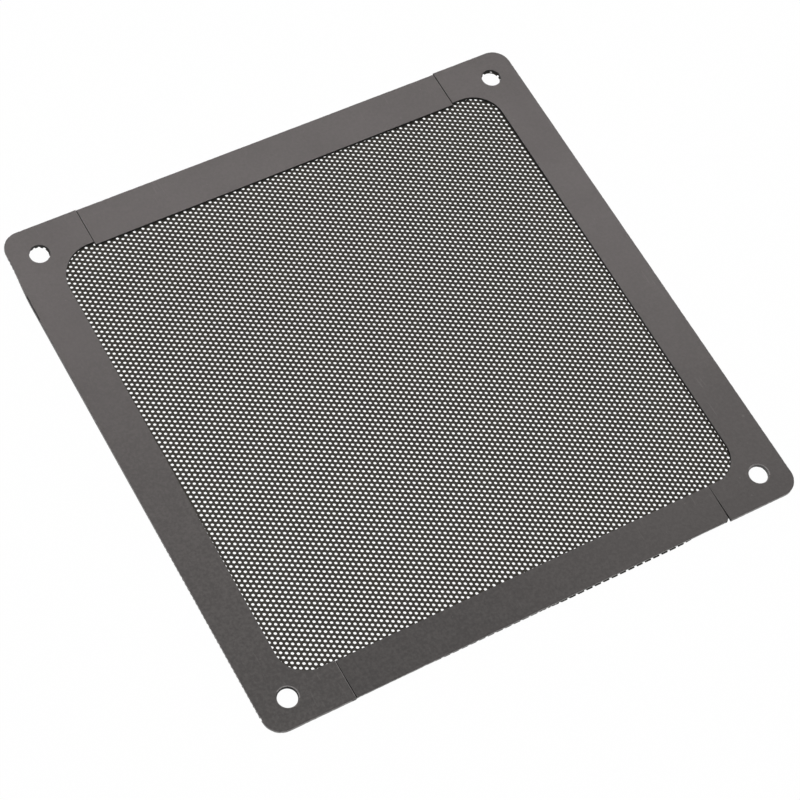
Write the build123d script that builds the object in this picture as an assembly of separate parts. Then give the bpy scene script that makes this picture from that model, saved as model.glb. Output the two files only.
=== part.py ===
from build123d import *
from math import sqrt
import os

# Dust filter for a 140 mm fan: a perforated plastic sheet, with a flat frame of
# four flexible magnetic strips bonded on its upper face.
# Millimetres. The origin is the centre of the sheet's underside, +Z points out of
# the magnetic face, and the two side strips run along Y.

# Screw holes, one in each corner, through the strips and the sheet
hole_spacing = 124.5          # centre to centre, the same along X and along Y
hole_diameter = 4.7
hole_to_edge = 7.5            # from a hole's centre to the outer edge

# Outline of the frame and its window
corner_radius = 4.5
strip_width = 10.0
window_corner_radius = 7.8

# Butt seams between the side strips and the middle strips
arm_reach = 10.0              # from the window's side, along the side strip's arm, to the seam
seam_gap = 0.15
middle_inset = 0.3            # the middle strips lie this much inwards of the side strips' ends

# Thicknesses
sheet_thickness = 0.4
strip_thickness = 0.8

# Perforation: staggered round holes in columns along Y. The sheet has thousands of
# fine holes. They are drawn larger and as many times further apart, so that a few
# columns fill the window, which keeps the stagger and the share of open area.
fine_pitch = 1.3
fine_hole_diameter = 0.8
side_columns = 5              # drawn columns on each side of the middle one
flats_per_hole = 18           # a drawn hole's rim is a regular polygon
plain_border = 0.3            # plain sheet left along the window's edge

outline_side = hole_spacing + 2 * hole_to_edge
window_side = outline_side - 2 * strip_width
seam_x = window_side / 2 - arm_reach
column_spacing = window_side / (2 * side_columns + 1)
enlargement = column_spacing / (fine_pitch * sqrt(3) / 2)


def punched_outline():
    """Rounded square of the outer edge, with the four screw holes."""
    with BuildSketch() as outline:
        RectangleRounded(outline_side, outline_side, corner_radius)
        with GridLocations(hole_spacing, hole_spacing, 2, 2):
            Circle(hole_diameter / 2, mode=Mode.SUBTRACT)
    return outline.sketch


def perforation_centres():
    """Centres of the drawn holes, staggered in columns across the window."""
    pitch = enlargement * fine_pitch
    rows = int(window_side / 2 / pitch) + 1
    centres = []
    for column in range(-side_columns, side_columns + 1):
        stagger = pitch / 2 if column % 2 else 0
        for row in range(-rows, rows + 1):
            y = row * pitch + stagger
            if abs(y) < window_side / 2:
                centres.append((column * column_spacing, y))
    return centres


def perforated_sheet():
    """Thin sheet under the whole frame. The window's edge cuts its outermost holes."""
    reach = window_side - 2 * plain_border
    with BuildSketch() as perforation:
        with Locations(*perforation_centres()):
            RegularPolygon(enlargement * fine_hole_diameter / 2, flats_per_hole)
        RectangleRounded(reach, reach, window_corner_radius - plain_border, mode=Mode.INTERSECT)
    with BuildSketch() as profile:
        add(punched_outline())
        add(perforation.sketch, mode=Mode.SUBTRACT)
    return extrude(profile.sketch, amount=sheet_thickness)


def side_strip(side):
    """C-shaped strip along one side, with both corners; side is -1 or +1."""
    inner_end = seam_x + seam_gap / 2
    reach = outline_side / 2 - inner_end
    with BuildSketch() as profile:
        add(punched_outline())
        RectangleRounded(window_side, window_side, window_corner_radius, mode=Mode.SUBTRACT)
        with Locations((side * (inner_end + reach / 2), 0)):
            Rectangle(reach, outline_side, mode=Mode.INTERSECT)
    return Pos(0, 0, sheet_thickness) * extrude(profile.sketch, amount=strip_thickness)


def middle_strip(end):
    """Straight strip between the side strips' arms; end is -1 or +1."""
    y = outline_side / 2 - strip_width / 2 - middle_inset
    with BuildSketch() as profile:
        with Locations((0, end * y)):
            Rectangle(2 * seam_x - seam_gap, strip_width)
    return Pos(0, 0, sheet_thickness) * extrude(profile.sketch, amount=strip_thickness)


nodes = {
    "perforated_sheet": perforated_sheet(),
    "left_side_strip": side_strip(-1),
    "right_side_strip": side_strip(+1),
    "rear_middle_strip": middle_strip(+1),
    "front_middle_strip": middle_strip(-1),
}

os.makedirs("parts", exist_ok=True)
for name, solid in nodes.items():
    solid.label = name
    export_step(solid, f"parts/{name}.step")
    print(f"{name}: {solid.volume:.1f} cubic mm")
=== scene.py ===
import bpy
import math
import numpy as np
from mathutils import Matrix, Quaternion, Vector
from mathutils.geometry import delaunay_2d_cdt


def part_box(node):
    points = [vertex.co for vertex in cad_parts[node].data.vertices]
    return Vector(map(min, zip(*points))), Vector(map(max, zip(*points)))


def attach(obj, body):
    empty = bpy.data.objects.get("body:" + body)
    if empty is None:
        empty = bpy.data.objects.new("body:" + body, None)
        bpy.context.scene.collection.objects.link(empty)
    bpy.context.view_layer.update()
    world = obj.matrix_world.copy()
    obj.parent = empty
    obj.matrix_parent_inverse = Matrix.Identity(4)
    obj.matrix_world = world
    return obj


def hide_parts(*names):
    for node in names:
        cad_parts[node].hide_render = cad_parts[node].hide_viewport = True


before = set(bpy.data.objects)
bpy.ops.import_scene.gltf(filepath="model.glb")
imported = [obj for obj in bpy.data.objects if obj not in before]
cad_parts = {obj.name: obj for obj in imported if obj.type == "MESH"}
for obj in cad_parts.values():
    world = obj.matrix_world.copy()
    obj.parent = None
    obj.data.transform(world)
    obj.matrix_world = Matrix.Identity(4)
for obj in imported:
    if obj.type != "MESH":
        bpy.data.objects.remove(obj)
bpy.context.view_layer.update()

# Plans are drawn in millimetres, and turned into metres when a mesh is made.
mm = 0.001

frameFacts = {
    "holeSpacing": 124.5,         # screw holes, centre to centre
    # each one's radius; its key is its corner
    "holeRadius": {(-1, 1): 2.46, (1, 1): 2.42, (-1, -1): 2.42, (1, -1): 2.41},
    # how far each one strays from its place
    "holeStray": {(-1, 1): (0.36, -0.22), (1, 1): (0.50, 0.25),
                  (-1, -1): (-0.02, -0.60), (1, -1): (0.16, -0.19)},
    "cornerRadius": 4.5,
    "windowCornerRadius": {(-1, 1): 9.4, (1, 1): 7.6, (-1, -1): 7.1, (1, -1): 7.2},
    "stripWidth": 10.0,
    # the left edge leaves its line at this y, and then comes in by the skew over its length
    "skewStart": 50.0,
    "skewLength": 14.0,
    "skew": 0.7,
    "skewReach": 4.0,             # what lies nearer than this to the window's line stays
}
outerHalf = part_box("perforated_sheet")[1].x / mm
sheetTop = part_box("perforated_sheet")[1].z / mm
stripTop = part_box("left_side_strip")[1].z / mm
windowHalf = outerHalf - frameFacts["stripWidth"]
# halfway across the strips
stripMiddle = windowHalf + frameFacts["stripWidth"] / 2

# how finely the plans are drawn
drawing = {
    "sheetCornerSteps": 10,
    "sheetScrewSteps": 40,
    "outlineSide": 2.0,           # the longest side of the sheet's and the left strip's outline
    "stripCornerSteps": 14,
    "windowCornerSteps": 20,
    "stripScrewSteps": 48,
    "stripSide": 0.5,             # the longest side of a strip's finished outline
}


# A plan is made of loops of points, with the material on the left of each loop.
def arc(centre, radius, start, end, steps):
    turn = np.radians(np.linspace(start, end, steps + 1))
    return np.column_stack([centre[0] + radius * np.cos(turn), centre[1] + radius * np.sin(turn)])


def roundedCorners(corners, radius, steps):
    # corners anticlockwise from the rear right one
    arcs = []
    for (x, y), turn in zip(corners, (0, 90, 180, 270)):
        centre = (x - math.copysign(radius, x), y - math.copysign(radius, y))
        arcs.append(arc(centre, radius, turn, turn + 90, steps))
    return np.vstack(arcs)


def skewed(loop):
    # the outer edge near the rear left corner
    rise = np.clip((loop[:, 1] - frameFacts["skewStart"]) / frameFacts["skewLength"], 0, 1)
    leftEdge = loop[:, 0] < -windowHalf - frameFacts["skewReach"]
    share = rise * rise * (3 - 2 * rise) * leftEdge
    return loop + np.column_stack([share * frameFacts["skew"], np.zeros(len(loop))])


def screwHole(corner, radius, steps, shift=(0, 0)):
    # clockwise, so that the material is on its left
    centre = np.array(corner) * frameFacts["holeSpacing"] / 2 + frameFacts["holeStray"][corner] + shift
    return arc(centre, radius, 360, 0, steps)[:-1]


def divided(loop, step):
    # the same loop with no side longer than step
    points = []
    for start, end in zip(loop, np.roll(loop, -1, axis=0)):
        parts = max(1, math.ceil(np.hypot(*(end - start)) / step))
        for part in range(parts):
            points.append(start + (end - start) * part / parts)
    return np.array(points)


def movedInwards(loop, distance):
    # each point goes into the material by its own distance
    along = np.roll(loop, -1, axis=0) - loop
    along /= np.linalg.norm(along, axis=1)[:, None]
    left = np.column_stack([-along[:, 1], along[:, 0]])
    before = np.roll(left, 1, axis=0)
    mitre = (left + before) / (1 + (left * before).sum(axis=1))[:, None]
    return loop + mitre * np.broadcast_to(distance, len(loop))[:, None]


def insideLoop(points, loop):
    # counts the loop's sides to the right of each point
    count = np.zeros(len(points), int)
    for (x0, y0), (x1, y1) in zip(loop, np.roll(loop, -1, axis=0)):
        if y0 == y1:
            continue
        level = (points[:, 1] > y0) != (points[:, 1] > y1)
        crossing = x0 + (points[:, 1] - y0) * (x1 - x0) / (y1 - y0)
        count += level & (points[:, 0] < crossing)
    return count % 2 == 1


def betweenLoops(points, outline, holes):
    # inside the outline and outside every hole
    keep = insideLoop(points, outline)
    for hole in holes:
        keep &= ~insideLoop(points, hole)
    return keep


def nextPoints(loops):
    # with the loops one after another, the number of the point that follows each point
    after, start = [], 0
    for loop in loops:
        after.append(np.roll(np.arange(len(loop)) + start, -1))
        start += len(loop)
    return np.concatenate(after)


def triangulated(loops, extra=()):
    # Delaunay triangles of all the points, with every loop kept as edges
    points = [Vector(p) for p in np.vstack([*loops, *extra]).tolist()]
    after = nextPoints(loops)
    edges = np.column_stack([np.arange(len(after)), after]).tolist()
    everyTriangle, samePlace = 0, 1e-5
    corners, _, faces, _, _, _ = delaunay_2d_cdt(points, edges, [], everyTriangle, samePlace, False)
    return np.array([tuple(c) for c in corners]), np.array(faces)


def meshPiece(name, points, triangles, sharpAngle, finishOf=None):
    # points in mm; finishOf is each triangle's place in the list of materials
    mesh = bpy.data.meshes.new(name)
    mesh.vertices.add(len(points))
    mesh.vertices.foreach_set("co", (points * mm).astype(np.float32).ravel())
    mesh.loops.add(3 * len(triangles))
    mesh.loops.foreach_set("vertex_index", triangles.astype(np.int32).ravel())
    mesh.polygons.add(len(triangles))
    mesh.polygons.foreach_set("loop_start", np.arange(len(triangles), dtype=np.int32) * 3)
    if finishOf is not None:
        mesh.polygons.foreach_set("material_index", finishOf.astype(np.int32))
    mesh.update(calc_edges=True)
    mesh.validate()
    mesh.shade_smooth()
    mesh.set_sharp_from_angle(angle=math.radians(sharpAngle))
    piece = bpy.data.objects.new(name, mesh)
    bpy.context.scene.collection.objects.link(piece)
    return piece


sheetFacts = {
    "pitch": 1.2936,              # between neighbouring holes of a column
    "columnSpacing": 1.1281,
    "columnLean": 0.236,          # degrees, to the left
    "rowLean": 0.689,             # degrees, up to the right
    "firstHole": (-0.221, -0.383),
    # where the sheet was pulled a little out of line as it was stuck down: place, width, pull
    "pulls": (((-70, 70), 18.5, (0.39, 0.74)), ((70, 70), 14, (0.40, 0.37)),
              ((-78, -55), 28, (0.21, 0.24)), ((70, -4), 20.5, (0.28, 0.16))),
    "holeDiameter": 0.80,
    "holeSides": 12,
    # the sheet was cut a little smaller than the strips' outline, and not quite in line with it
    "corners": ((69.50, 69.50), (-69.68, 69.50), (-69.68, -69.54), (69.50, -69.28)),
    "cornerRadius": 5.0,
    # pairs along the front edge, from end to end: x, and how much further in the cut went there
    "frontStray": ((-64, 0.10), (-60, 0.32), (-32, 0.12), (-26, -0.04), (0, -0.12), (4, -0.28),
                   (36, -0.36), (40, -0.05), (44, 0.30), (48, 0.55), (52, 0.55), (56, 0.30), (64, 0.05)),
    "frontReach": 1.0,            # a point of the outline is on the front edge within this distance
    # the sheet has stretched towards the front edge: how much, how far outside the window that starts,
    # and over what length it comes
    "frontCreep": 0.26,
    "creepStart": 1.0,
    "creepLength": 8.0,
    "screwHoleRadius": 2.36,
    # how far its screw holes lie from the strips' ones
    "screwHoleShift": {(-1, 1): (-0.07, 0.14), (1, 1): (-0.08, -0.12),
                       (-1, -1): (0.10, 0.12), (1, -1): (0.10, 0.12)},
    "sharpAngle": 40,             # degrees between faces, from which their edge is drawn sharp
}


def perforationCentres(reach):
    # a tenth more columns and rows than straight ones would need, because they lean
    many = math.ceil(1.1 * reach / sheetFacts["columnSpacing"])
    count = np.arange(-many, many + 1)
    columns, rows = (axis.ravel() for axis in np.meshgrid(count, count))
    across = columns * sheetFacts["columnSpacing"]
    along = (rows + (columns % 2) / 2) * sheetFacts["pitch"]
    row, column = math.radians(sheetFacts["rowLean"]), math.radians(sheetFacts["columnLean"])
    centres = np.column_stack([
        across * math.cos(row) - along * math.sin(column),
        across * math.sin(row) + along * math.cos(column),
    ]) + sheetFacts["firstHole"]
    for place, width, pull in sheetFacts["pulls"]:
        share = np.exp(-((centres - place) ** 2).sum(axis=1) / (2 * width ** 2))
        centres += share[:, None] * pull
    creep = (-sheetFacts["creepStart"] - windowHalf - centres[:, 1]) / sheetFacts["creepLength"]
    centres[:, 1] -= sheetFacts["frontCreep"] * np.clip(creep, 0, 1)
    return centres[(np.abs(centres) < reach).all(axis=1)]


def sheetOutline():
    corners = roundedCorners(sheetFacts["corners"], sheetFacts["cornerRadius"], drawing["sheetCornerSteps"])
    outline = skewed(divided(corners, drawing["outlineSide"]))
    frontEnd = sheetFacts["frontStray"][-1][0]
    front = (outline[:, 1] < sheetFacts["frontReach"] - outerHalf) & (np.abs(outline[:, 0]) < frontEnd)
    outline[front, 1] += np.interp(outline[front, 0], *zip(*sheetFacts["frontStray"]))
    return outline


def sheetPlan():
    sides = sheetFacts["holeSides"]
    wedge = 2 * math.pi / sides
    # a little larger than the round hole, so that the open area is the same
    larger = math.sqrt(math.pi / (sides / 2 * math.sin(wedge)))
    radius = sheetFacts["holeDiameter"] / 2 * larger
    spokes = np.radians(np.arange(sides) * 360 / sides)
    rim = radius * np.column_stack([np.cos(spokes), np.sin(spokes)])
    outline = sheetOutline()
    screws = [screwHole(corner, sheetFacts["screwHoleRadius"], drawing["sheetScrewSteps"], shift)
              for corner, shift in sheetFacts["screwHoleShift"].items()]
    centres = perforationCentres(outerHalf + radius)

    # holes that a screw hole takes whole, nearly to its rim, or that lie outside are left out
    taken = sheetFacts["screwHoleRadius"] - radius * 1.02
    for screw in screws:
        centres = centres[np.linalg.norm(centres - screw.mean(axis=0), axis=1) > taken]
    rounding = np.abs(centres) - (outerHalf - sheetFacts["cornerRadius"])
    beyond = np.linalg.norm(np.maximum(rounding, 0), axis=1)
    centres = centres[beyond < sheetFacts["cornerRadius"] + radius]
    loops = [outline, *screws, *(centres[:, None] + rim[None])]
    points, triangles = triangulated(loops)

    # keep what lies in the outline and in no hole; a fine hole reaches as far as its nearest side
    middle = points[triangles].mean(axis=1)
    keep = betweenLoops(middle, outline, screws)
    home = nearestCentre(middle, centres)
    away = middle - home
    turn = np.mod(np.arctan2(away[:, 1], away[:, 0]), wedge) - wedge / 2
    keep &= np.hypot(*away.T) * np.cos(turn) > radius * math.cos(wedge / 2)
    return points, triangles[keep], centres


def nearestCentre(points, centres):
    # looks in the cells of a coarse grid round each point
    cell = sheetFacts["pitch"]
    border = 4                    # mm of grid outside the sheet
    places = 4                    # centres that a cell has room for
    nowhere = 1e9                 # a distance longer than any other
    size = int(2 * (outerHalf + border) / cell) + 3
    shelf = np.full((size, size, places), -1)
    for index, (column, row) in enumerate(np.floor((centres + outerHalf + border) / cell).astype(int)):
        free = np.argmin(shelf[column, row])
        shelf[column, row, free] = index
    at = np.clip(np.floor((points + outerHalf + border) / cell).astype(int), 1, size - 2)
    best = np.full(len(points), nowhere)
    home = np.zeros_like(points)
    for across, along, place in np.ndindex(3, 3, places):
        index = shelf[at[:, 0] + across - 1, at[:, 1] + along - 1, place]
        centre = centres[np.maximum(index, 0)]
        distance = np.where(index < 0, nowhere, np.hypot(*(points - centre).T))
        nearer = distance < best
        best[nearer] = distance[nearer]
        home[nearer] = centre[nearer]
    return home


def rimEdges(triangles):
    # directed edges that only one triangle has
    edges = np.vstack([triangles[:, [0, 1]], triangles[:, [1, 2]], triangles[:, [2, 0]]])
    many = edges.max() + 1
    ahead = edges[:, 0] * many + edges[:, 1]
    back = edges[:, 1] * many + edges[:, 0]
    return edges[~np.isin(ahead, back)]


def anticlockwise(points, triangles):
    a, b, c = (points[triangles[:, i]] for i in range(3))
    turned = (b - a)[:, 0] * (c - a)[:, 1] < (b - a)[:, 1] * (c - a)[:, 0]
    triangles[turned] = triangles[turned][:, ::-1]
    return triangles


def sheetQuarter(name, points, triangles, centres):
    used, inverse = np.unique(triangles, return_inverse=True)
    plan = points[used]
    faces = anticlockwise(plan, inverse.reshape(-1, 3))
    edges = rimEdges(faces)
    count = len(plan)
    a, b = edges.T
    walls = np.vstack([np.column_stack([a, a + count, b + count]), np.column_stack([a, b + count, b])])
    top = np.column_stack([plan, np.full(count, sheetTop)])
    solid = np.vstack([top, top * (1, 1, 0)])
    triangles = np.vstack([faces, faces[:, ::-1] + count, walls])
    piece = meshPiece(name, solid, triangles, sheetFacts["sharpAngle"])
    flattened(piece, plan, faces, edges, centres)
    return piece


# the sheet's map: its top on the left half, its underside on the right, and each wall beside its edge
mapFacts = {
    "margin": 0.5,                # mm round the plan
    "width": 0.49,                # the map is 1 wide, and a side takes this much of it
    "border": 0.005,
    "underside": 0.5,             # where the right half starts
    "holeReach": 0.54,            # a wall this near to a centre is a hole's, as a share of the diameter
    # a hole's wall is a ring inside the hole, and an outer one a band outside the plan: the places of
    # the upper and lower edge, as shares of the hole's radius and in mm from the outline
    "ring": (0.94, 0.55),
    "band": (0.04, 0.35),
}


def flattened(piece, plan, faces, edges, centres):
    low = plan.min(axis=0) - mapFacts["margin"]
    scale = mapFacts["width"] / (plan.max(axis=0) + mapFacts["margin"] - low).max()
    a, b = plan[edges[:, 0]], plan[edges[:, 1]]
    halfway = (a + b) / 2
    home = nearestCentre(halfway, centres)
    reach = np.hypot(*(halfway - home).T)
    isHole = (reach < sheetFacts["holeDiameter"] * mapFacts["holeReach"])[:, None]
    out = np.column_stack([(b - a)[:, 1], -(b - a)[:, 0]])
    out /= np.linalg.norm(out, axis=1)[:, None]

    def shrunk(p, share, step):
        return np.where(isHole, home + (p - home) * share, p + out * step)

    upper, lower = zip(mapFacts["ring"], mapFacts["band"])
    topA, topB = shrunk(a, *upper), shrunk(b, *upper)
    lowA, lowB = shrunk(a, *lower), shrunk(b, *lower)
    flat = np.vstack([
        plan[faces.ravel()],
        plan[faces[:, ::-1].ravel()],
        np.stack([topA, lowA, lowB], axis=1).reshape(-1, 2),
        np.stack([topA, lowB, topB], axis=1).reshape(-1, 2),
    ])
    flat = (flat - low) * scale + mapFacts["border"]
    flat[3 * len(faces):6 * len(faces), 0] += mapFacts["underside"]
    piece.data.uv_layers.new(name="OFBake").uv.foreach_set("vector", flat.astype(np.float32).ravel())


stripFacts = {
    # pairs from the cut to the face: how far below the face, how far in from the cut
    "edge": ((0.07, 0.0), (0.03, 0.01), (0.008, 0.03), (0.001, 0.055), (0.0, 0.07), (0.0, 0.10)),
    # the same for a front screw hole's rim, which was pressed down
    "rim": ((0.12, 0.0), (0.055, 0.02), (0.045, 0.04), (0.004, 0.22), (0.0, 0.25), (0.0, 0.28)),
    "highlightArc": (48, 80),           # its arc of painted highlight: the middle and half the span, in degrees from +X
    "rimReach": 4,                # what lies nearer than this to a screw hole's centre is its rim
    "seamAt": 49.3,               # a seam's cuts lie this far from the middle
    "seamReach": 0.7,             # give or take this
    "seamSpill": 0.6,             # and reach this far into the window
    "seamShare": 0.3,             # the blade left the seams' edges this much sharper
    "burr": 1.3,                  # and the left arm's front one this much blunter
    "burrAt": 48.94,              # that one lies further left than this
    "burrPace": 4,                # its painted highlights come this many times as often as the cut's waves
    "burrBare": 0.36,             # it has no painted highlight where the wave is lower than this
    "undercut": 0.03,             # how far in the front middle strip's outer cut ends at the sheet
    "middleEnd": 48.6,            # that cut lies nearer to the middle than this
    "flare": 0.08,                # how far out the front arms' outer cuts end at the sheet
    "armStart": 50.2,             # those lie further from the middle than this
    "armReach": 0.5,              # and this near to the outline
    "holeTaper": 0.12,            # how much narrower the front screw holes get towards the sheet
    "armEnd": {-1: 48.95, 1: 49.825},   # where the left and the right strip's arms stop, from the middle
    "innerLean": 0.0035,          # the side strips' window sides lean this much to the right
    "leanWidth": 8,               # and less along the window's corners, over this width
    "leanReach": 0.1,             # what lies further than this outside the window's line doesn't lean
    "windowCutReach": 0.8,        # a cut is the window's up to this far outside its line
    "leftEdgePlain": 26,          # rearwards of this y the left edge's cut looks like the face
    "leftEdgeReach": 2.5,         # that cut lies this near to the outline
    "crease": (45.3, 52.8),       # between these two y the left edge was pressed down, and its rounding is drawn with a dark line of painted shade
    "creaseReach": 1.0,           # this near to the outline
    "creaseShare": 2.4,           # this much wider than the edge is rounded elsewhere
    "edgeWander": 0.03,           # how far the cut strays inwards
    "edgeCrumbs": 0.05,           # how far single crumbs are missing from the outer edge
    "faceWander": 0.03,           # how far the face dips
    # the points that carry the dips: their spacing, and how far they keep from the cut and a hole's centre
    "gridStep": 2.0,
    "gridInset": 0.5,
    "gridClear": 3.6,
    "sharpAngle": 50,             # degrees between faces, from which their edge is drawn sharp
    "seed": 3,                    # the first strip's random draws
    "seedStep": 10,               # the next strip's seed is this much higher
    # nicks in the outer edge: x, y, half the width, depth
    "nicks": ((-69.7, -64.6, 0.8, 0.20), (-69.7, 15.9, 0.6, 0.20), (-69.7, 13.4, 0.5, 0.12),
              (-31.6, -69.7, 0.5, 0.15)),
}


# smooth waves are sums of sines: how many, each one's reach in mm, and what the sum is divided by
waves = {
    "edge": {"count": 7, "reach": (2, 26), "height": (0.4, 1), "spread": 6},
    "face": {"count": 8, "reach": (4, 20), "spread": 9},
}
wholeTurn = 6.3                   # roughly, in radians
# places in a strip's list of materials
likeFace, paintedLightCut, paintedShadeCut, paintedHighlightRim = range(4)


def wander(length, seed):
    # a smooth wave between 0 and 1 along an edge
    dice, facts = np.random.default_rng(seed), waves["edge"]
    wave = np.zeros(len(length))
    for _ in range(facts["count"]):
        turned = length / dice.uniform(*facts["reach"]) + dice.uniform(0, wholeTurn)
        wave += np.sin(turned) * dice.uniform(*facts["height"])
    return np.clip(0.5 + wave / facts["spread"], 0, 1)


def faceDip(points, seed):
    # how far below the strips' top the face lies
    dice, facts = np.random.default_rng(seed), waves["face"]
    dip = np.zeros(len(points))
    for _ in range(facts["count"]):
        way = dice.uniform(0, wholeTurn)
        reach = dice.uniform(*facts["reach"])
        dip += np.sin((points @ [math.cos(way), math.sin(way)]) / reach + dice.uniform(0, wholeTurn))
    return np.clip(0.5 + dip / facts["spread"], 0, 1) * stripFacts["faceWander"]


def atSeam(points):
    # at the butt seams, where an arm and a middle strip end
    x, y = np.abs(points).T
    return (np.abs(x - stripFacts["seamAt"]) < stripFacts["seamReach"]) & (
        y > windowHalf - stripFacts["seamSpill"])


def atOuterEdge(points):
    return np.abs(points).max(axis=1) > stripMiddle


def atBurr(points):
    # the left arm's side of the front left seam
    return atSeam(points) & (points[:, 0] < -stripFacts["burrAt"]) & (points[:, 1] < 0)


def cutKind(points, isHole):
    # the material of a cut; the front right screw hole's looks like the face. Cuts at the window, at the
    # seams and in the other screw holes get the painted shade, and the rest of the outer cuts get the
    # painted light
    x, y = points.T
    inWindow = np.abs(points).max(axis=1) < windowHalf + stripFacts["windowCutReach"]
    plain = (x < stripFacts["leftEdgeReach"] - outerHalf) & (y > stripFacts["leftEdgePlain"])
    plain |= isHole & (x > 0) & (y < 0)
    return np.where(plain, likeFace, np.where(inWindow | atSeam(points) | isHole, paintedShadeCut, paintedLightCut))


def atHighlightArc(points, centre):
    # the far rim of a front screw hole, which is drawn with a painted highlight
    middle, half = stripFacts["highlightArc"]
    x, y = (points - centre).T
    turn = np.mod(np.degrees(np.arctan2(y, x)) - middle + 180, 360) - 180
    return (np.abs(turn) < half) & (np.hypot(x, y) < stripFacts["rimReach"]) & (centre[1] < 0)


def atCrease(points):
    x, y = points.T
    low, high = stripFacts["crease"]
    return (x < stripFacts["creaseReach"] - outerHalf) & (y > low) & (y < high)


def atFrontArm(points):
    # the front arms' outer cut
    x, y = points.T
    return (y < stripFacts["armReach"] - outerHalf) & (np.abs(x) > stripFacts["armStart"])


def roughened(loop, seed, isHole):
    # the blade's path: a slow wander everywhere, crumbs and nicks at the outer edge
    length = np.cumsum(np.hypot(*(loop - np.roll(loop, 1, axis=0)).T))
    inwards = wander(length, seed) * stripFacts["edgeWander"]
    if not isHole:
        # cubed, so that most of them are small
        crumbs = np.random.default_rng(seed).random(len(loop)) ** 3 * stripFacts["edgeCrumbs"]
        for x, y, halfWidth, depth in stripFacts["nicks"]:
            away = np.hypot(*(loop - (x, y)).T) / halfWidth
            crumbs = np.maximum(crumbs, depth * np.clip(1 - away, 0, 1))
        crumbs = crumbs + np.where(atFrontArm(loop), stripFacts["flare"], 0)
        inwards = inwards + np.where(atOuterEdge(loop) & ~atSeam(loop), crumbs, 0)
    return movedInwards(loop, inwards)


def footOf(loop, isHole):
    # the same loop at the sheet
    if isHole:
        return movedInwards(loop, np.where(loop[:, 1] < 0, -stripFacts["holeTaper"], 0.0))
    middle = (loop[:, 1] < -stripMiddle) & (np.abs(loop[:, 0]) < stripFacts["middleEnd"])
    return movedInwards(loop, middle * stripFacts["undercut"] - atFrontArm(loop) * stripFacts["flare"])


def edgeRings(shown, feet, seed):
    # rings from the underside up the cut and round the edge; each ring is all loops one after another
    outline, *holes = shown
    profiles = [stripFacts["edge"]] + [stripFacts["rim" if hole[0, 1] < 0 else "edge"] for hole in holes]
    seam = np.where(atBurr(outline), stripFacts["burr"], stripFacts["seamShare"])
    edge = np.where(atCrease(outline), stripFacts["creaseShare"], 1.0)
    shares = [np.where(atSeam(outline), seam, edge)] + [np.ones(len(hole)) for hole in holes]
    foot = np.vstack(feet)
    levels = [np.column_stack([foot, np.full(len(foot), sheetTop)])]
    for step in range(len(stripFacts["edge"])):
        topLoops, drops = [], []
        for loop, profile, share in zip(shown, profiles, shares):
            below, inwards = profile[step]
            topLoops.append(movedInwards(loop, inwards * share))
            drops.append(below * share)
        ring = np.vstack(topLoops)
        levels.append(np.column_stack([ring, stripTop - np.concatenate(drops) - faceDip(ring, seed)]))
    return levels, topLoops


def cutFinishes(shown, after, seed):
    # for each side of the loops: the material of its cut, and of the rounding above that
    base = np.vstack(shown)
    halfway = (base + base[after]) / 2
    isHole = np.arange(len(base)) >= len(shown[0])
    pace, bare = stripFacts["burrPace"], stripFacts["burrBare"]
    highlighted = atBurr(halfway) & (wander(halfway[:, 1] * pace, seed) > bare)
    for hole in shown[1:]:
        highlighted |= isHole & atHighlightArc(halfway, hole.mean(axis=0))
    # the crease's rounding is drawn with the painted shade, and the far rims and the burr with the painted
    # highlight
    rounding = np.where(atCrease(halfway), paintedShadeCut, np.where(highlighted, paintedHighlightRim, likeFace))
    return cutKind(halfway, isHole), rounding


def faceGrid(outline, topLoops):
    # points inside the face that carry its dips
    columns, rows = (np.arange(low, high, stripFacts["gridStep"])
                     for low, high in zip(outline.min(axis=0), outline.max(axis=0)))
    grid = np.stack(np.meshgrid(columns, rows), -1).reshape(-1, 2)
    keep = insideLoop(grid, movedInwards(topLoops[0], stripFacts["gridInset"]))
    for hole in topLoops[1:]:
        keep &= np.hypot(*(grid - hole.mean(axis=0)).T) > stripFacts["gridClear"]
    return grid[keep]


def stripPiece(name, outline, holes, seed):
    loops = [divided(outline, drawing["stripSide"]), *holes]
    shown = [roughened(loop, seed + number, number > 0) for number, loop in enumerate(loops)]
    feet = [footOf(loop, number > 0) for number, loop in enumerate(shown)]
    levels, topLoops = edgeRings(shown, feet, seed)
    after = nextPoints(shown)
    count = len(after)
    here = np.arange(count)
    kind, rounding = cutFinishes(shown, after, seed)
    walls, wallFinish = [], []
    for level in range(len(levels) - 1):
        low, high = level * count, (level + 1) * count
        walls.append(np.column_stack([here + low, after + low, after + high]))
        walls.append(np.column_stack([here + low, after + high, here + high]))
        wallFinish.append(np.tile(rounding if level else kind, 2))
    face, faceTriangles = cappedPlan(topLoops, [faceGrid(outline, topLoops)])
    under, underTriangles = cappedPlan(feet, [])

    points = np.vstack([
        *levels,
        np.column_stack([face, stripTop - faceDip(face, seed)]),
        np.column_stack([under, np.full(len(under), sheetTop)]),
    ])
    faceStart = len(levels) * count
    underStart = faceStart + len(face)
    triangles = np.vstack([*walls, faceTriangles + faceStart, underTriangles[:, ::-1] + underStart])
    finishOf = np.concatenate([*wallFinish, np.zeros(len(faceTriangles)), np.zeros(len(underTriangles))])
    points, triangles, finishOf = joined(points, triangles, finishOf)
    return meshPiece(name, points, triangles, stripFacts["sharpAngle"], finishOf)


def cappedPlan(loops, extra):
    points, triangles = triangulated(loops, extra)
    keep = betweenLoops(points[triangles].mean(axis=1), loops[0], loops[1:])
    return points, anticlockwise(points, triangles[keep])


def joined(points, triangles, finishOf):
    # points at the same place, to four digits of a millimetre, become one
    _, first, inverse = np.unique(np.round(points, 4), axis=0, return_index=True, return_inverse=True)
    triangles = inverse.ravel()[triangles]
    whole = (triangles != np.roll(triangles, 1, axis=1)).all(axis=1)
    return points[first], triangles[whole], finishOf[whole]


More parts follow.
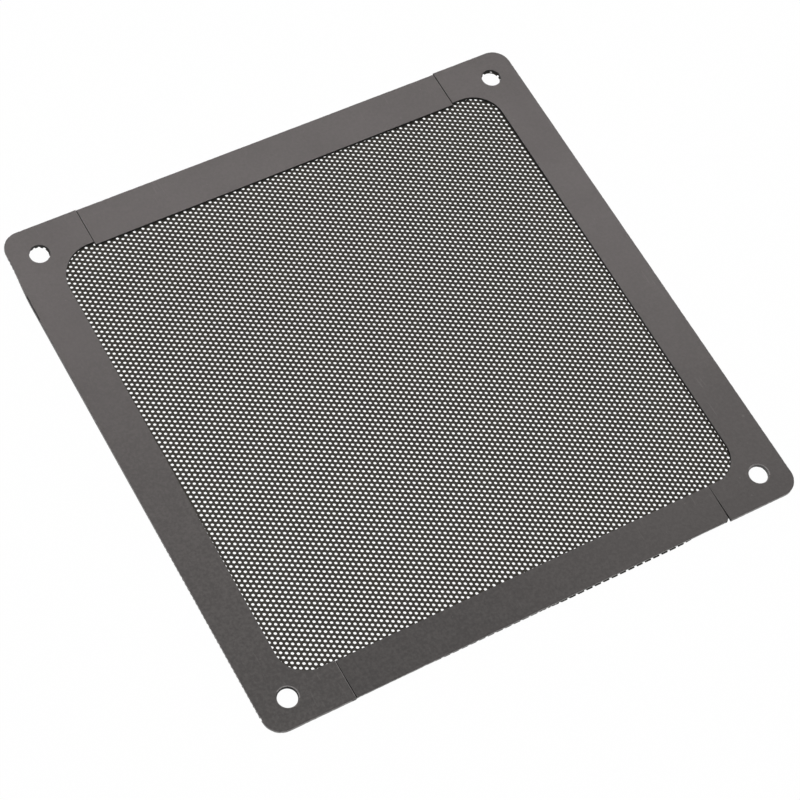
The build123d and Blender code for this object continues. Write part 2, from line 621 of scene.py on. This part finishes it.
def sideStripPlan(side):
    # drawn as the right strip; the left one is its mirror image
    end = stripFacts["armEnd"][side]
    outer = frameFacts["cornerRadius"]
    rear, front = (frameFacts["windowCornerRadius"][side, way] for way in (1, -1))
    half = outerHalf - outer
    loop = np.vstack([
        [(end, -outerHalf)],
        arc((half, -half), outer, -90, 0, drawing["stripCornerSteps"]),
        arc((half, half), outer, 0, 90, drawing["stripCornerSteps"]),
        [(end, outerHalf), (end, windowHalf)],
        arc((windowHalf - rear, windowHalf - rear), rear, 90, 0, drawing["windowCornerSteps"]),
        arc((windowHalf - front, front - windowHalf), front, 0, -90, drawing["windowCornerSteps"]),
        [(end, -windowHalf)],
    ])
    if side < 0:
        loop = skewed(divided((loop * (-1, 1))[::-1], drawing["outlineSide"]))
    reach = np.abs(loop)
    onWindow = reach.max(axis=1) < windowHalf + stripFacts["leanReach"]
    share = np.clip(1 - (windowHalf - reach[:, 0]) / stripFacts["leanWidth"], 0, 1) * onWindow
    return loop + np.column_stack([share * loop[:, 1] * stripFacts["innerLean"], np.zeros(len(loop))])


middleStripFacts = {
    # corners in turn from the inner left one; the front strip's right end has lost its outer corner
    "rear": ((-48.84, 58.92), (-48.83, 69.60), (49.62, 69.40), (49.64, 59.20)),
    "front": ((-48.87, -59.94), (-48.79, -69.60), (48.95, -69.53), (49.56, -68.88), (49.80, -59.86)),
}


def middleStripPlan(end):
    loop = np.array(middleStripFacts[end])
    return loop[::-1] if end == "rear" else loop


class Flow:
    # one output socket, so that arithmetic on it adds nodes
    def __init__(self, board, socket):
        self.board = board
        self.socket = socket

    def combined(self, operation, first, second):
        # a Math node would turn a colour grey
        vectors = any(isinstance(x, Flow) and x.socket.type != "VALUE" for x in (first, second))
        kind = "ShaderNodeVectorMath" if vectors else "ShaderNodeMath"
        return self.board.add(kind, {"operation": operation}, {0: first, 1: second})

    def __add__(self, other):
        return self.combined("ADD", self, other)

    def __radd__(self, other):
        return self.combined("ADD", other, self)

    def __sub__(self, other):
        return self.combined("SUBTRACT", self, other)

    def __rsub__(self, other):
        return self.combined("SUBTRACT", other, self)

    def __mul__(self, other):
        return self.combined("MULTIPLY", self, other)

    def __rmul__(self, other):
        return self.combined("MULTIPLY", other, self)


class Board:
    # one tree of nodes
    def __init__(self, tree):
        self.tree = tree

    def add(self, kind, settings, sockets, out=0):
        # settings come first, because they decide which sockets count
        node = self.tree.nodes.new(kind)
        for key, value in settings.items():
            setattr(node, key, value)
        for key, value in sockets.items():
            self.plug(node.inputs[key], value)
        return Flow(self, node.outputs[out])

    def plug(self, socket, value):
        if isinstance(value, Flow):
            self.tree.links.new(value.socket, socket)
        else:
            socket.default_value = value


class Finish(Board):
    # one material, with its Principled shader
    def __init__(self, name):
        self.material = bpy.data.materials.new(name)
        self.material.use_nodes = True
        super().__init__(self.material.node_tree)
        self.shader = self.tree.nodes["Principled BSDF"]
        self.place = self.add("ShaderNodeTexCoord", {}, {}, "Object")

    def noise(self, width, detail, roughness, stretch=None):
        # width is a patch's, in millimetres; stretch is a turn in radians and a scale for each axis
        place = self.place
        if stretch:
            turn, scale = stretch
            place = self.add("ShaderNodeMapping", {}, {"Vector": place, "Rotation": turn, "Scale": scale})
        return self.add("ShaderNodeTexNoise", {}, {
            "Vector": place, "Scale": 1 / (width * mm), "Detail": detail, "Roughness": roughness})

    def mask(self, flow, low, high):
        # 0 below low, 1 above high
        return self.add("ShaderNodeMapRange", {"interpolation_type": "SMOOTHSTEP"}, {
            "Value": flow, "From Min": low, "From Max": high})

    def mix(self, share, first, second):
        # sockets 6 and 7 and output 2 are the ones for colours
        return self.add("ShaderNodeMix", {"data_type": "RGBA"}, {0: share, 6: first, 7: second}, 2)

    def bump(self, height, depth):
        return self.add("ShaderNodeBump", {}, {"Height": height, "Distance": depth * mm})

    def dress(self, **sockets):
        names = {"colour": "Base Color", "roughness": "Roughness", "normal": "Normal",
                 "gloss": "Specular IOR Level"}
        for key, value in sockets.items():
            self.plug(self.shader.inputs[names[key]], value)
        return self.material


stripFinish = {
    "dark": (0.0505, 0.0485, 0.0458, 1),
    "light": (0.0825, 0.0792, 0.0748, 1),
    "scuff": (0.118, 0.113, 0.109, 1),
    "roughness": 0.32,
    "gloss": 0.5,
    "bump": 0.022,                # mm
    # noises: a patch's width in mm, detail, roughness
    "cloud": (16, 3.0, 0.6),
    "mottle": (0.7, 4.0, 0.65),
    "grain": (0.16, 2.0, 0.6),
    "streak": (3.2, 2.0, 0.5),
    "patch": (22, 1.0, 0.5),
    "speck": (1.1, 1.0, 0.5),
    # from where to where a noise, or a place in metres, fades from none to all
    "mottleFade": (0.36, 0.66),
    "calmFade": (-0.085, -0.015),
    "leftFade": (-0.020, 0.035),
    "streakFade": (0.64, 0.72),
    "patchFade": (0.50, 0.62),
    "speckFade": (0.76, 0.80),
    "calm": 0.6,                  # how much fainter the mottling gets towards the rear right
    "leftPaintedShade": 0.16,            # painted shade: how much darker the front middle strip gets to the left, where the light falls off
    "streakLean": ((0, 0, 0.7), (6.0, 0.5, 1.0)),   # a turn and a scale make the rub marks long
    "streakShare": 0.35,
    "speckShare": 0.5,
    # the die's cuts: two colours each, and the noises that mix them
    # painted light: the outer cuts are drawn lighter than the face, as where light from the pale floor
    # falls on them
    "paintedLightCut": ((0.23, 0.223, 0.217, 1), (0.41, 0.40, 0.393, 1)),
    # painted shade: the cuts that face the window, the seams' cuts and the screw holes' walls are drawn
    # nearly black, as where they lie in shade
    "paintedShadeCut": ((0.022, 0.0215, 0.021, 1), (0.050, 0.049, 0.048, 1)),
    # painted highlight: a light arc on the far rim of the front screw holes, and light places along the
    # left arm's front seam
    "paintedHighlightRim": ((0.15, 0.146, 0.142, 1), (0.30, 0.292, 0.287, 1)),
    "dieStreak": (0.35, 3.0, 0.6, ((0, 0, 0), (1.0, 1.0, 0.22))),
    "crumb": (0.12, 2.0, 0.6),
    "cutFade": (0.38, 0.62),
    "cutRoughness": 0.6,
    "cutBump": 0.03,
}


def magnetFace(name, leftPaintedShade):
    facts, finish = stripFinish, Finish(name)
    cloud = finish.noise(*facts["cloud"])
    mottle = finish.noise(*facts["mottle"])
    grain = finish.noise(*facts["grain"])
    share = finish.mask(0.75 * mottle + 0.25 * cloud, *facts["mottleFade"])
    # the mottling is strongest in the front left quarter
    x, y = (finish.add("ShaderNodeSeparateXYZ", {}, {0: finish.place}, way) for way in (0, 1))
    share = 0.5 + (share - 0.5) * (1 - facts["calm"] * finish.mask(x + y, *facts["calmFade"]))
    colour = finish.mix(share, facts["dark"], facts["light"])
    # painted shade: the front middle strip darkens towards its left end
    if leftPaintedShade:
        colour = finish.mix((1 - finish.mask(x, *facts["leftFade"])) * leftPaintedShade, colour, (0, 0, 0, 1))
    # rub marks: thin streaks that lean, only where a large patch allows them
    streak = finish.noise(*facts["streak"], facts["streakLean"])
    patch = finish.noise(*facts["patch"])
    scuff = finish.mask(streak, *facts["streakFade"]) * finish.mask(patch, *facts["patchFade"])
    # specks of dust
    speck = finish.mask(finish.noise(*facts["speck"]), *facts["speckFade"]) * facts["speckShare"]
    colour = finish.mix(scuff * facts["streakShare"] + speck, colour, facts["scuff"])
    roughness = facts["roughness"] + 0.10 * mottle + 0.06 * (1 - cloud) - 0.05
    height = 0.15 * grain + 0.85 * mottle
    return finish.dress(colour=colour, roughness=roughness, normal=finish.bump(height, facts["bump"]),
                        gloss=facts["gloss"])


def magnetCut(name, shades, gloss):
    # streaked up and down by the die
    facts, finish = stripFinish, Finish(name)
    streak = finish.noise(*facts["dieStreak"])
    crumb = finish.noise(*facts["crumb"])
    colour = finish.mix(finish.mask(0.6 * streak + 0.4 * crumb, *facts["cutFade"]), *shades)
    return finish.dress(colour=colour, roughness=facts["cutRoughness"] + 0.15 * crumb,
                        normal=finish.bump(0.7 * streak + 0.3 * crumb, facts["cutBump"]), gloss=gloss)


sheetFinish = {
    "dark": (0.034, 0.0315, 0.0250, 1),
    "light": (0.047, 0.044, 0.0350, 1),
    "roughness": 0.58,
    "gloss": 0.25,
    "bump": 0.010,                # mm
    # noises: a patch's width in mm, detail, roughness
    "cloud": (9, 3.0, 0.6),
    "grain": (0.25, 3.0, 0.6),
    "fade": (0.38, 0.62),
}


def blackPlastic():
    facts, finish = sheetFinish, Finish("perforated_plastic")
    cloud = finish.noise(*facts["cloud"])
    grain = finish.noise(*facts["grain"])
    share = finish.mask(0.5 * cloud + 0.5 * grain, *facts["fade"])
    colour = finish.mix(share, facts["dark"], facts["light"])
    return finish.dress(colour=colour, roughness=facts["roughness"] + 0.12 * cloud,
                        normal=finish.bump(grain, facts["bump"]), gloss=facts["gloss"])


plastic = blackPlastic()
plan, planTriangles, holeCentres = sheetPlan()
# one plate, in four quarters to keep each within the limit of triangles
onRight, atRear = (plan[planTriangles].mean(axis=1) >= 0).T
quarters = {
    "sheet_rear_right": onRight & atRear,
    "sheet_rear_left": ~onRight & atRear,
    "sheet_front_left": ~onRight & ~atRear,
    "sheet_front_right": onRight & ~atRear,
}
for name, chosen in quarters.items():
    piece = sheetQuarter(name, plan, planTriangles[chosen], holeCentres)
    piece.data.materials.append(plastic)
    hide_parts("perforated_sheet")
    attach(piece, "root")
    print(f"{name}: {len(piece.data.polygons)} triangles")
print(f"perforated sheet: {len(holeCentres)} holes")

plainFace = magnetFace("magnetic_strip_face", 0)
shadedFace = magnetFace("magnetic_strip_face_front", stripFinish["leftPaintedShade"])
cuts = [                          # in the order of their places: the painted light cut, the painted shade cut and the painted highlight rim
    magnetCut("magnetic_strip_painted_light_cut", stripFinish["paintedLightCut"], 0.5),
    magnetCut("magnetic_strip_painted_shade_cut", stripFinish["paintedShadeCut"], 0.2),
    magnetCut("magnetic_strip_painted_highlight_rim", stripFinish["paintedHighlightRim"], 0.5),
]
stripParts = {
    "left_side_strip": (sideStripPlan(-1), [(-1, 1), (-1, -1)]),
    "right_side_strip": (sideStripPlan(1), [(1, 1), (1, -1)]),
    "rear_middle_strip": (middleStripPlan("rear"), []),
    "front_middle_strip": (middleStripPlan("front"), []),
}
for number, (node, (outline, corners)) in enumerate(stripParts.items()):
    holes = [screwHole(corner, frameFacts["holeRadius"][corner], drawing["stripScrewSteps"])
             for corner in corners]
    seed = stripFacts["seed"] + number * stripFacts["seedStep"]
    piece = stripPiece(node.replace("strip", "magnet"), outline, holes, seed)
    for material in [shadedFace if node == "front_middle_strip" else plainFace, *cuts]:
        piece.data.materials.append(material)
    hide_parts(node)
    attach(piece, "root")
    print(f"{piece.name}: {len(piece.data.polygons)} triangles")


studio = {
    "floorHalf": 2,               # m
    "floorDrop": 5e-5,            # m below the sheet, so that the two don't share a plane
    "floorShade": 0.9,
    "floorRoughness": 0.9,
    "floorWhiteness": 0.985,      # the rest of the floor's look is its own shade, with the shadow
    "surroundings": 0.30,         # dim light from everywhere
    # azimuth from +X, elevation, distance (m), width and height (m), power (W), colour
    "rearBox": (70, 54.2, 0.95, 1.63, 0.10, 4.75, (1.0, 0.90, 0.91)),
    "topBox": (250, 78, 1.10, 0.70, 0.70, 3.35, (1.0, 1.0, 1.0)),
}


def softbox(name, azimuth, elevation, distance, width, height, power, colour):
    light = bpy.data.lights.new(name, "AREA")
    light.shape = "RECTANGLE"
    light.size = width
    light.size_y = height
    light.energy = power
    light.color = colour
    lamp = bpy.data.objects.new(name, light)
    a, e = math.radians(azimuth), math.radians(elevation)
    way = Vector((math.cos(a) * math.cos(e), math.sin(a) * math.cos(e), math.sin(e)))
    lamp.location = way * distance
    lamp.rotation_euler = (-way).to_track_quat("-Z", "Y").to_euler()
    bpy.context.scene.collection.objects.link(lamp)


def whiteInView(board, surface, output, kind, share, rays):
    # these rays see white; every other one sees the real surface
    seen = sum(board.add("ShaderNodeLightPath", {}, {}, ray) for ray in rays)
    white = board.add(kind, {}, {"Color": (1, 1, 1, 1)})
    mixed = board.add("ShaderNodeMixShader", {}, {0: seen * share, 1: surface, 2: white})
    board.plug(board.tree.nodes[output].inputs["Surface"], mixed)


floorMesh = bpy.data.meshes.new("floor")
floorCorners = [(x * studio["floorHalf"], y * studio["floorHalf"], -studio["floorDrop"])
                for x, y in ((-1, -1), (1, -1), (1, 1), (-1, 1))]
floorMesh.from_pydata(floorCorners, [], [(0, 1, 2, 3)])
floor = bpy.data.objects.new("floor", floorMesh)
bpy.context.scene.collection.objects.link(floor)
floorFinish = Finish("pale_floor")
floorFinish.dress(colour=(studio["floorShade"],) * 3 + (1,), roughness=studio["floorRoughness"], gloss=0.0)
whiteInView(floorFinish, Flow(floorFinish, floorFinish.shader.outputs[0]), "Material Output",
            "ShaderNodeEmission", studio["floorWhiteness"],
            ("Is Camera Ray", "Is Glossy Ray", "Is Transmission Ray"))
floorMesh.materials.append(floorFinish.material)

world = bpy.data.worlds.new("studio")
bpy.context.scene.world = world
world.use_nodes = True
sky = Board(world.node_tree)
dim = sky.tree.nodes["Background"]
dim.inputs["Color"].default_value = (studio["surroundings"],) * 3 + (1,)
whiteInView(sky, Flow(sky, dim.outputs[0]), "World Output", "ShaderNodeBackground", 1.0,
            ("Is Camera Ray", "Is Transmission Ray"))
softbox("rear_softbox", *studio["rearBox"])
softbox("top_softbox", *studio["topBox"])

cameraFacts = {
    "place": (-194.90, -225.57, 491.97),
    "aim": (-4.05, -9.06, 1.20),
    "roll": 13.90,                # degrees; the photograph's camera was held tilted
    "lens": 110.55,
    "sensor": 36,
}
camera = bpy.data.objects.new("camera", bpy.data.cameras.new("camera"))
camera.data.lens = cameraFacts["lens"]
camera.data.sensor_width = cameraFacts["sensor"]
camera.location = Vector(cameraFacts["place"]) * mm
looking = Vector(cameraFacts["aim"]) * mm - camera.location
camera.rotation_mode = "QUATERNION"
camera.rotation_quaternion = (looking.to_track_quat("-Z", "Y")
                              @ Quaternion((0, 0, 1), math.radians(cameraFacts["roll"])))
bpy.context.scene.collection.objects.link(camera)
bpy.context.scene.camera = camera
bpy.context.scene.view_settings.view_transform = "Standard"

print("scene built")
